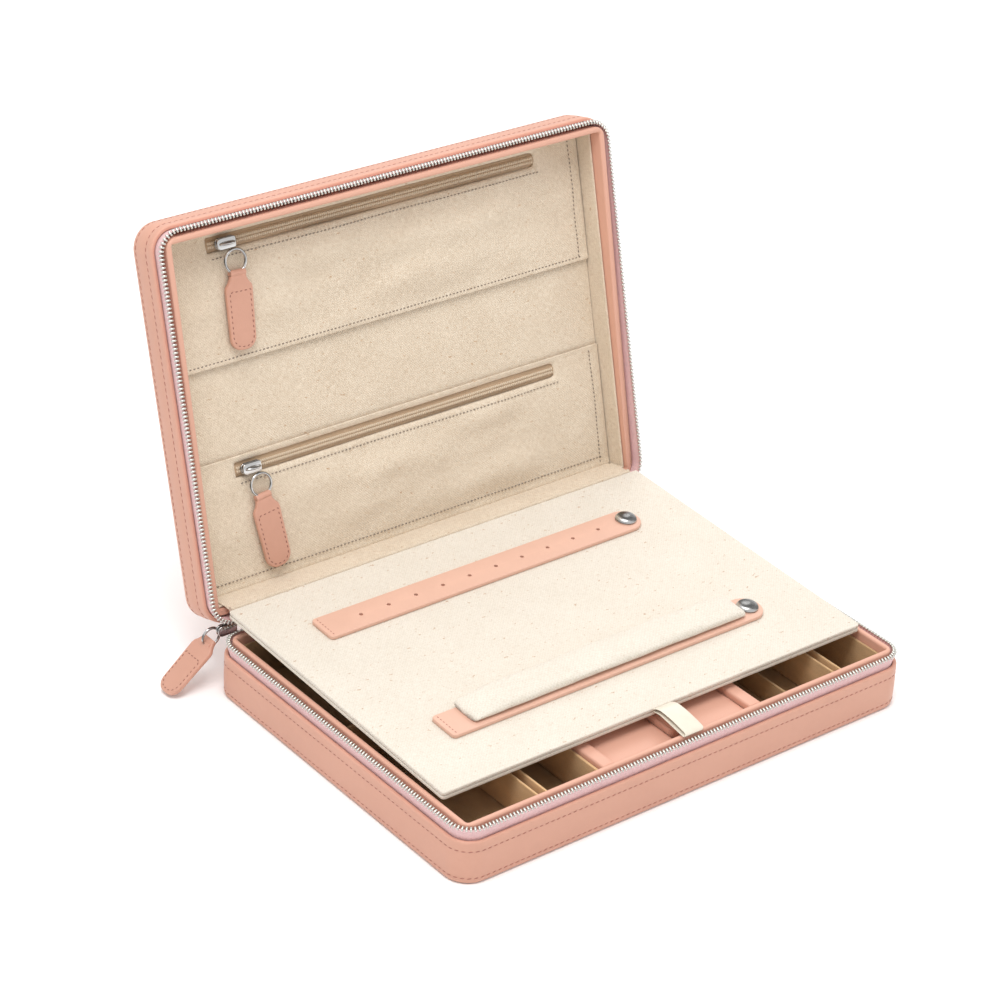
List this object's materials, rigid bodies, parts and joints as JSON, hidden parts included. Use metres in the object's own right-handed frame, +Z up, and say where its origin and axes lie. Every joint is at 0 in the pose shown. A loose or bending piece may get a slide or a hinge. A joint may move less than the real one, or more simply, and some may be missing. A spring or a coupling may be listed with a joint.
{
  "type": "travel jewelry case",
  "caption": "Zip-round leather travel jewelry case standing open, with zipped lid pockets, a cloth flap with snap straps over a divided velvet tray.",
  "frame": {"origin": "centre of the lower shell on its resting face", "axes": "+X to the right along the width, +Y towards the hinge, +Z up; the front edge is at -Y"},
  "size_m": [0.2827, 0.2576, 0.2111],
  "materials": {
    "leather": "fine-grained blush leather, stitched",
    "canvas": "natural linen canvas with slubs",
    "pocket_zip": "woven tape with a nylon coil",
    "velvet": "short beige velvet",
    "satin": "cream satin ribbon",
    "zip_tape": "woven lilac-pink tape",
    "metal": "polished silver colour"
  },
  "bodies": {
    "base": {"base_shell": "leather", "base_zip_tape": "zip_tape", "base_zip_teeth": "metal", "base_spine": "leather", "base_inner_frame": "leather", "tray_insert": "velvet", "divider_cross": "velvet", "divider_left_outer": "velvet", "divider_left_inner": "velvet", "divider_centre_left": "velvet", "divider_centre_right": "velvet", "divider_low": "velvet", "divider_right_inner": "velvet", "divider_right_outer": "velvet", "divider_back_left": "velvet", "divider_back_right": "velvet", "centre_block": "leather", "centre_border_left": "leather", "centre_border_right": "leather", "centre_panel_left": "leather", "centre_panel_right": "leather", "centre_bar": "leather"},
    "lid": {"lid_shell": "leather", "lid_zip_tape": "zip_tape", "lid_zip_teeth": "metal", "lid_spine": "leather", "lid_inner_frame": "leather", "lid_lining": "canvas", "lid_backing": "canvas", "upper_pocket": "canvas", "upper_zip_tape": "pocket_zip", "upper_zip_coil": "pocket_zip", "lower_pocket": "canvas", "lower_zip_tape": "pocket_zip", "lower_zip_coil": "pocket_zip"},
    "flap_fold": {"flap_cloth_fold": "canvas"},
    "flap": {"flap_upper_board": "canvas", "flap_lower_board": "canvas", "earring_strap_end": "leather", "ring_strap_end": "leather"},
    "ribbon": {"flap_ribbon": "satin"},
    "earring_strap": {"earring_strap": "leather", "earring_snap_cap": "metal"},
    "ring_strap": {"ring_strap": "leather", "ring_snap_cap": "metal", "ring_roll": "canvas"},
    "upper_slider": {"upper_zip_slider": "metal", "upper_zip_ring": "metal"},
    "upper_pull": {"upper_zip_pull": "leather"},
    "lower_slider": {"lower_zip_slider": "metal", "lower_zip_ring": "metal"},
    "lower_pull": {"lower_zip_pull": "leather"},
    "case_slider": {"case_zip_slider": "metal", "case_zip_ring": "metal"},
    "case_pull": {"case_zip_pull": "leather"}
  },
  "joints": [
    {"name": "lid_hinge", "type": "hinge", "parent": "base", "child": "lid", "pos_m": [0, 0.0943, 0.0296], "axis": [-1, 0, 0], "range_deg": [-104.8, 0]},
    {"name": "flap_cloth_turn", "type": "hinge", "parent": "lid", "child": "flap_fold", "pos_m": [0, 0.0965, 0.0372], "axis": [1, 0, 0], "range_deg": [-107.2, 0]},
    {"name": "flap_lift", "type": "hinge", "parent": "flap_fold", "child": "flap", "pos_m": [0, 0.08073, 0.03856], "axis": [-1, 0, 0], "range_deg": [0, 60]},
    {"name": "ribbon_fold", "type": "hinge", "parent": "flap", "child": "ribbon", "pos_m": [0, -0.06928, 0.03326], "axis": [1, 0, 0], "range_deg": [-176.2, 0]},
    {"name": "earring_strap_lift", "type": "hinge", "parent": "flap", "child": "earring_strap", "pos_m": [-0.0838, 0.05744, 0.03791], "axis": [0, -0.9992, -0.0407], "range_deg": [0, 15]},
    {"name": "ring_strap_lift", "type": "hinge", "parent": "flap", "child": "ring_strap", "pos_m": [-0.0826, -0.03229, 0.03426], "axis": [0, -0.9992, -0.0407], "range_deg": [0, 15]},
    {"name": "upper_zip_slide", "type": "slide", "parent": "lid", "child": "upper_slider", "axis": [-1, 0, 0], "range_m": [-0.172, 0]},
    {"name": "upper_pull_swing", "type": "hinge", "parent": "upper_slider", "child": "upper_pull", "pos_m": [-0.083, 0.14744, 0.17826], "axis": [-1, 0, 0], "range_deg": [0, 75]},
    {"name": "lower_zip_slide", "type": "slide", "parent": "lid", "child": "lower_slider", "axis": [-1, 0, 0], "range_m": [-0.173, 0]},
    {"name": "lower_pull_swing", "type": "hinge", "parent": "lower_slider", "child": "lower_pull", "pos_m": [-0.086, 0.12036, 0.07577], "axis": [-1, 0, 0], "range_deg": [0, 75]},
    {"name": "case_zip_slide", "type": "slide", "parent": "base", "child": "case_slider", "axis": [1, 0, 0], "range_m": [0, 0.01]},
    {"name": "case_pull_swing", "type": "hinge", "parent": "case_slider", "child": "case_pull", "pos_m": [-0.12998, 0.1014, 0.01962], "axis": [0, 1, 0], "range_deg": [0, 80]}
  ],
  "couplings": [
    {"joint": "flap_cloth_turn", "follows": "lid_hinge", "ratio": 1.0222},
    {"joint": "ribbon_fold", "follows": "lid_hinge", "ratio": 1.679}
  ]
}
